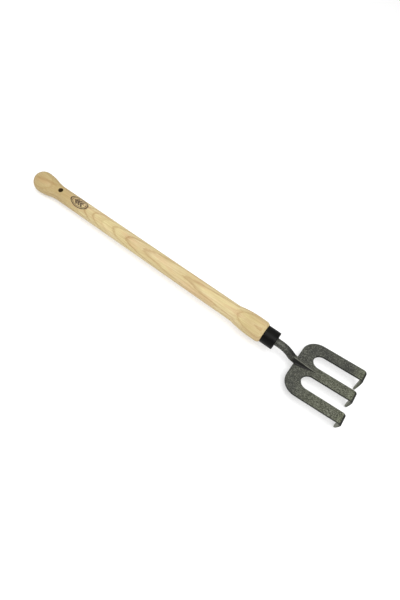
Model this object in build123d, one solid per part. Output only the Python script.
from build123d import *
import math
import os

# Hand cultivator: a turned ash handle, a black steel ferrule, a swan-necked steel shank and a
# three-tined plate whose tine ends are bent down into hooks. Millimetres.
#
# The tool frame has its X axis along the handle, from the butt to the hooks, with X = 0 at the
# ferrule's front face, Y across the tines, and Z on the side that faces up in use. The last step
# lays the tool on its hook tips and its knob, as it lies on a bench, and puts the origin under
# the middle of its box.

# --- driving dimensions ---------------------------------------------------------------------

# Turned handle: radii of its profile, and places along X.
knob_radius = 18.55
knob_centre_x = -484.35
knob_back_radius = 75.0         # the long convex curve from the knob towards the neck
neck_radius = 12.9
neck_hollow_radius = 73.0       # the concave curve into the neck
shaft_front_radius = 14.05
swell_start_x = -75.3
swell_radius = 17.8
swell_top_x = -40.8
shoulder_x = -25.0
shoulder_radius = 17.7
shoulder_end_radius = 14.9

# Hang hole, bored across the neck of the handle, a little turned against the plate.
hang_hole_x = -441.5
hang_hole_diameter = 7.5
countersink_diameter = 9.0     # at the top of the round, on both sides
hang_hole_turn = 17.5           # about the handle axis, degrees from the plate's normal

# Ferrule: a drawn cap that closes the handle's front end around the shank.
ferrule_length = 21.7
ferrule_radius = 14.65
ferrule_wall = 2.2
ferrule_rim = 1.2               # rounding of the front edge

# Shank: a round bar with a tang in the handle and a swan neck in front of it.
bar_radius = 6.35
tang_length = 85.0
tang_point_length = 14.0
tang_point_radius = 3.0
neck_straight = 7.8
neck_drop_angle = 33.0          # steepest slope of the swan neck
neck_upper_bend = 36.0
neck_lower_bend = 20.0

# Lap: the bar's end, forged to a wedge that lies on the plate. Its flats start a little behind
# the plate's back edge and run to a point between the slots.
lap_slope = 11.3                # slope of the bar against the plate where it laps it
lap_start = -4.0
lap_start_height = 8.8
lap_start_top_width = 6.4
lap_start_base_width = 13.4
lap_tip = 34.0
lap_tip_height = 0.6
lap_tip_top_width = 0.8
lap_tip_base_width = 2.0

# Weld: one fillet bead along each side of the lap.
weld_start = 0.5
weld_end = 26.0
weld_start_leg = 2.2
weld_end_leg = 0.9

# Plate and tines.
plate_thickness = 4.0
plate_pitch = 5.4               # the plate rises towards the tips against the handle axis
plate_back_x = 38.8
plate_top_z = -11.2             # height of the plate's top face at its back edge
tine_width = 19.2
tine_spacing = 44.6
corner_radius = 26.0            # big outer corners of the plate
slot_end_x = 60.8
tine_end_x = 138.8
bend_radius = 6.0               # outside radius of the tight bend at a tine's end
bend_angle = 92.0
curl_radius = 140.0             # slow curl of the hook below the bend
hook_depth = 33.4
middle_hook_depth = 30.4       # the middle hook is a little shorter than the outer two
tip_width = 7.0
tip_thickness = 2.4             # the hooks are drawn thinner towards their tips
tip_offset = 4.8                # the outer hooks' tips stand this much nearer the middle

# --- derived dimensions ---------------------------------------------------------------------

butt_x = knob_centre_x - knob_radius
plate_width = 2 * tine_spacing + tine_width
slot_width = tine_spacing - tine_width
bore_radius = bar_radius
spigot_radius = ferrule_radius - ferrule_wall
cut_size = 200.0                # larger than anything that it cuts


def turned(face):
    """A solid of revolution about the handle axis from a half profile in the XZ plane."""
    return revolve(face, Axis.X)


def rod(radius, x_from, x_to):
    """A round rod along the handle axis."""
    plane = Plane(origin=(x_from, 0, 0), z_dir=(1, 0, 0))
    return extrude(plane * Circle(radius), x_to - x_from)


def handle_profile():
    """Half profile of the turned handle: knob, neck, shaft, swell, shoulder and spigot."""
    convex = Vector(knob_centre_x, knob_radius - knob_back_radius)
    rise = neck_radius + neck_hollow_radius - convex.Y
    reach = knob_back_radius + neck_hollow_radius
    neck_x = convex.X + math.sqrt(reach**2 - rise**2)
    hollow = Vector(neck_x, neck_radius + neck_hollow_radius)
    joint = convex + (hollow - convex) * (knob_back_radius / reach)

    swell_drop = swell_radius - shaft_front_radius
    swell_run = swell_top_x - swell_start_x
    swell_curve = (swell_run**2 + swell_drop**2) / (2 * swell_drop)
    swell_centre = Vector(swell_top_x, swell_radius - swell_curve)
    half_way = math.atan2(swell_run, swell_curve - swell_drop) / 2

    def on_arc(centre, radius, angle):
        return centre + Vector(-radius * math.sin(angle), radius * math.cos(angle))

    knob_half = math.radians(45)
    back_half = -math.asin((joint.X - convex.X) / knob_back_radius) / 2
    hollow_half = math.asin((neck_x - joint.X) / neck_hollow_radius) / 2
    hollow_middle = hollow + Vector(
        -neck_hollow_radius * math.sin(hollow_half), -neck_hollow_radius * math.cos(hollow_half)
    )
    outline = [
        ThreePointArc(
            (butt_x, 0),
            on_arc(Vector(knob_centre_x, 0), knob_radius, knob_half),
            (knob_centre_x, knob_radius),
        ),
        ThreePointArc(
            (knob_centre_x, knob_radius),
            on_arc(convex, knob_back_radius, back_half),
            joint,
        ),
        ThreePointArc(joint, hollow_middle, (neck_x, neck_radius)),
        Line((neck_x, neck_radius), (swell_start_x, shaft_front_radius)),
        ThreePointArc(
            (swell_start_x, shaft_front_radius),
            on_arc(swell_centre, swell_curve, half_way),
            (swell_top_x, swell_radius),
        ),
        Polyline(
            (swell_top_x, swell_radius),
            (shoulder_x, shoulder_radius),
            (-ferrule_length, shoulder_end_radius),
            (-ferrule_length, spigot_radius),
            (-ferrule_wall, spigot_radius),
            (-ferrule_wall, 0),
            (butt_x, 0),
        ),
    ]
    return Plane.XZ * make_face(outline)


def make_handle():
    """The ash handle, with its blind bore for the tang and its hang hole."""
    handle = turned(handle_profile())
    handle -= tang(bore_radius)
    return handle - Pos(hang_hole_x, 0, 0) * Rot(hang_hole_turn, 0, 0) * hang_hole_tool()


def hang_hole_tool():
    """What bores the hang hole: a drill with a 90-degree countersink on both sides."""
    run_out = 3.0
    depth = (countersink_diameter - hang_hole_diameter) / 2
    tool = Cylinder(hang_hole_diameter / 2, cut_size)
    for side in (0, 180):
        cone = Cone(hang_hole_diameter / 2, countersink_diameter / 2 + run_out, depth + run_out,
                    align=(Align.CENTER, Align.CENTER, Align.MIN))
        tool += Rot(side, 0, 0) * Pos(0, 0, neck_radius - depth) * cone
    return tool


def make_ferrule():
    """The drawn black cap: a tube over the spigot with a front face around the shank."""
    cap = rod(ferrule_radius, -ferrule_length, 0)
    front_edge = cap.edges().group_by(Axis.X)[-1]
    cap = fillet(front_edge, ferrule_rim)
    cap -= rod(spigot_radius, -ferrule_length, -ferrule_wall)
    return cap - rod(bore_radius, -ferrule_wall, 0)


def tang(radius):
    """The hidden end of the bar: straight, with a tapered point."""
    point_x = -tang_length + tang_point_length
    profile = Polyline(
        (-tang_length, 0),
        (-tang_length, tang_point_radius),
        (point_x, radius),
        (0, radius),
        (0, 0),
        close=True,
    )
    return turned(Plane.XZ * make_face(profile))


def plate_plane():
    """The frame of the plate: its origin on the top face at the back edge, X along the tines."""
    pitch = math.radians(plate_pitch)
    return Plane(
        origin=(plate_back_x, 0, plate_top_z),
        x_dir=(math.cos(pitch), 0, math.sin(pitch)),
        z_dir=(-math.sin(pitch), 0, math.cos(pitch)),
    )


def neck_path():
    """Centre line of the bar in front of the handle: straight, down, and back to the lap."""
    straight = Line((0, 0), (neck_straight, 0))
    down = JernArc(straight @ 1, straight % 1, neck_upper_bend, -neck_drop_angle)
    lap_angle = neck_drop_angle + plate_pitch - lap_slope
    back = JernArc(down @ 1, down % 1, neck_lower_bend, lap_angle)
    run_out = Line(back @ 1, (back @ 1) + (back % 1) * plate_back_x)
    return Plane.XZ * Wire([straight, down, back, run_out])


def make_shank():
    """The bar: tang, swan neck, and the end forged to a wedge that laps the plate."""
    path = neck_path()
    bar = sweep(Plane(path @ 0, z_dir=path % 0) * Circle(bar_radius), path)
    bar &= lap_envelope()
    bar -= below_lap()
    return tang(bar_radius) + bar


def trapezium(height, base_width, top_width):
    """Section of the forged lap, standing on the plate's top face."""
    return make_face(
        Polyline(
            (-base_width / 2, 0),
            (base_width / 2, 0),
            (top_width / 2, height),
            (-top_width / 2, height),
            close=True,
        )
    )


def lap_section(along):
    """The plane across the lap at this distance in front of the plate's back edge."""
    return plate_plane() * Plane(origin=(along, 0, 0), x_dir=(0, 1, 0), z_dir=(1, 0, 0))


def lap_envelope():
    """The space that the bar may fill: all of it behind the flats, and the forged wedge."""
    start = trapezium(lap_start_height, lap_start_base_width, lap_start_top_width)
    tip = trapezium(lap_tip_height, lap_tip_base_width, lap_tip_top_width)
    wedge = loft([lap_section(lap_start) * start, lap_section(lap_tip) * tip], ruled=True)
    behind = Box(cut_size, cut_size, cut_size, align=(Align.MAX, Align.CENTER, Align.CENTER))
    under = Box(
        -lap_start,
        lap_start_base_width,
        cut_size,
        align=(Align.MIN, Align.CENTER, Align.MAX),
    )
    rear = Pos(lap_start, 0, 0)
    return plate_plane() * (rear * behind + rear * under) + wedge


def below_lap():
    """Everything in front of the plate's back edge and under its top face."""
    return plate_plane() * Box(
        cut_size, cut_size, cut_size, align=(Align.MIN, Align.CENTER, Align.MAX)
    )


def bent_sheet():
    """The full-width sheet, bent down at the tine ends and thinned towards the tips."""
    bend_start = tine_end_x - plate_back_x - bend_radius
    curl_angle = math.degrees((hook_depth - bend_radius) / curl_radius)
    top = Line((0, 0), (bend_start, 0))
    outer_bend = JernArc(top @ 1, top % 1, bend_radius, -bend_angle)
    curl = JernArc(outer_bend @ 1, outer_bend % 1, curl_radius, -curl_angle)

    underside = Line((0, -plate_thickness), (bend_start, -plate_thickness))
    inner_radius = bend_radius - plate_thickness
    inner_bend = JernArc(underside @ 1, underside % 1, inner_radius, -bend_angle)
    along = curl % 1
    tip_inside = (curl @ 1) + Vector(along.Y, -along.X) * tip_thickness
    inside = Line(inner_bend @ 1, tip_inside)

    ends = [Line(top @ 0, underside @ 0), Line(curl @ 1, tip_inside)]
    side = make_face([top, outer_bend, curl, underside, inner_bend, inside] + ends)
    return extrude(Plane.XZ * side, plate_width / 2, both=True)


def plan_outline():
    """The plate seen from above: rounded back corners and two round-ended slots."""
    length = tine_end_x - plate_back_x
    blank = RectangleRounded(2 * length, plate_width, corner_radius)
    plan = Pos(length, 0) * blank
    slot = Rectangle(2 * length, slot_width, align=(Align.MIN, Align.CENTER))
    slot_centre_x = slot_end_x - plate_back_x + slot_width / 2
    for side in (-1, 1):
        place = Pos(slot_centre_x, side * tine_spacing / 2)
        plan -= place * (Circle(slot_width / 2) + slot)
    return plan


def hook_front(number):
    """Front view of one tine's end (Y, Z): full width at the bend, narrowing to a blunt tip."""
    middle = number * tine_spacing
    tip_middle = middle - number * tip_offset
    top = plate_thickness
    bend_line = -bend_radius
    tip = -middle_hook_depth if number == 0 else -hook_depth - 1
    half = tine_width / 2
    return make_face(
        Polyline(
            (middle - half, top),
            (middle + half, top),
            (middle + half, bend_line),
            (tip_middle + tip_width / 2, tip),
            (tip_middle - tip_width / 2, tip),
            (middle - half, bend_line),
            close=True,
        )
    )


def make_tine_plate():
    """One piece of 4 mm sheet: slotted into three tines, each bent down into a hook."""
    plan = extrude(Pos(0, 0, -cut_size / 2) * plan_outline(), cut_size)
    fronts = Sketch() + [hook_front(number) for number in (-1, 0, 1)]
    # A tall block behind the bends keeps the plate itself out of the hooks' front view.
    bend_start = tine_end_x - plate_back_x - bend_radius
    facing = Plane(origin=(bend_start - 1, 0, 0), x_dir=(0, 1, 0), z_dir=(1, 0, 0))
    hooks = extrude(facing * fronts, cut_size)
    back = Box(bend_start, cut_size, cut_size, align=(Align.MIN, Align.CENTER, Align.CENTER))
    plate = bent_sheet() & plan & (hooks + back)
    return plate_plane() * plate


def make_weld(shank):
    """Two fillet beads in the corners between the lap and the plate, tapering to its point."""

    def foot(along):
        share = (along - lap_start) / (lap_tip - lap_start)
        width = lap_start_base_width + (lap_tip_base_width - lap_start_base_width) * share
        return width / 2

    def bead_section(along, side, leg):
        # The corner that lies inside the lap is cut away with it.
        reach = 2.2 * leg
        toe = foot(along) + leg
        points = [(side * toe, 0), (side * (toe - reach), reach), (side * (toe - reach), 0)]
        return lap_section(along) * make_face(Polyline(*points, close=True))

    beads = []
    for side in (-1, 1):
        thick = bead_section(weld_start, side, weld_start_leg)
        thin = bead_section(weld_end, side, weld_end_leg)
        beads.append(loft([thick, thin], ruled=True) - shank)
    return Part() + beads


def rest_pose(pieces):
    """Where the tool lies by itself: on its hook tips and its knob, centred on the origin."""
    pitch = 0.0
    for _ in range(4):
        posed = {name: Rot(0, pitch, 0) * piece for name, piece in pieces.items()}
        knob = posed["handle"].bounding_box()
        hooks = posed["tine_plate"].bounding_box()
        span = hooks.max.X - knob.min.X - knob_radius
        pitch -= math.degrees(math.atan2(knob.min.Z - hooks.min.Z, span))
    whole = Compound(children=list(posed.values())).bounding_box()
    shift = Pos(-whole.center().X, -whole.center().Y, -whole.min.Z)
    return shift * Rot(0, pitch, 0)


shank = make_shank()
pieces = {
    "handle": make_handle(),
    "ferrule": make_ferrule(),
    "shank": shank,
    "tine_plate": make_tine_plate(),
    "lap_weld": make_weld(shank),
}

os.makedirs("parts", exist_ok=True)
place = rest_pose(pieces)
for name, piece in pieces.items():
    export_step(place * piece, f"parts/{name}.step")
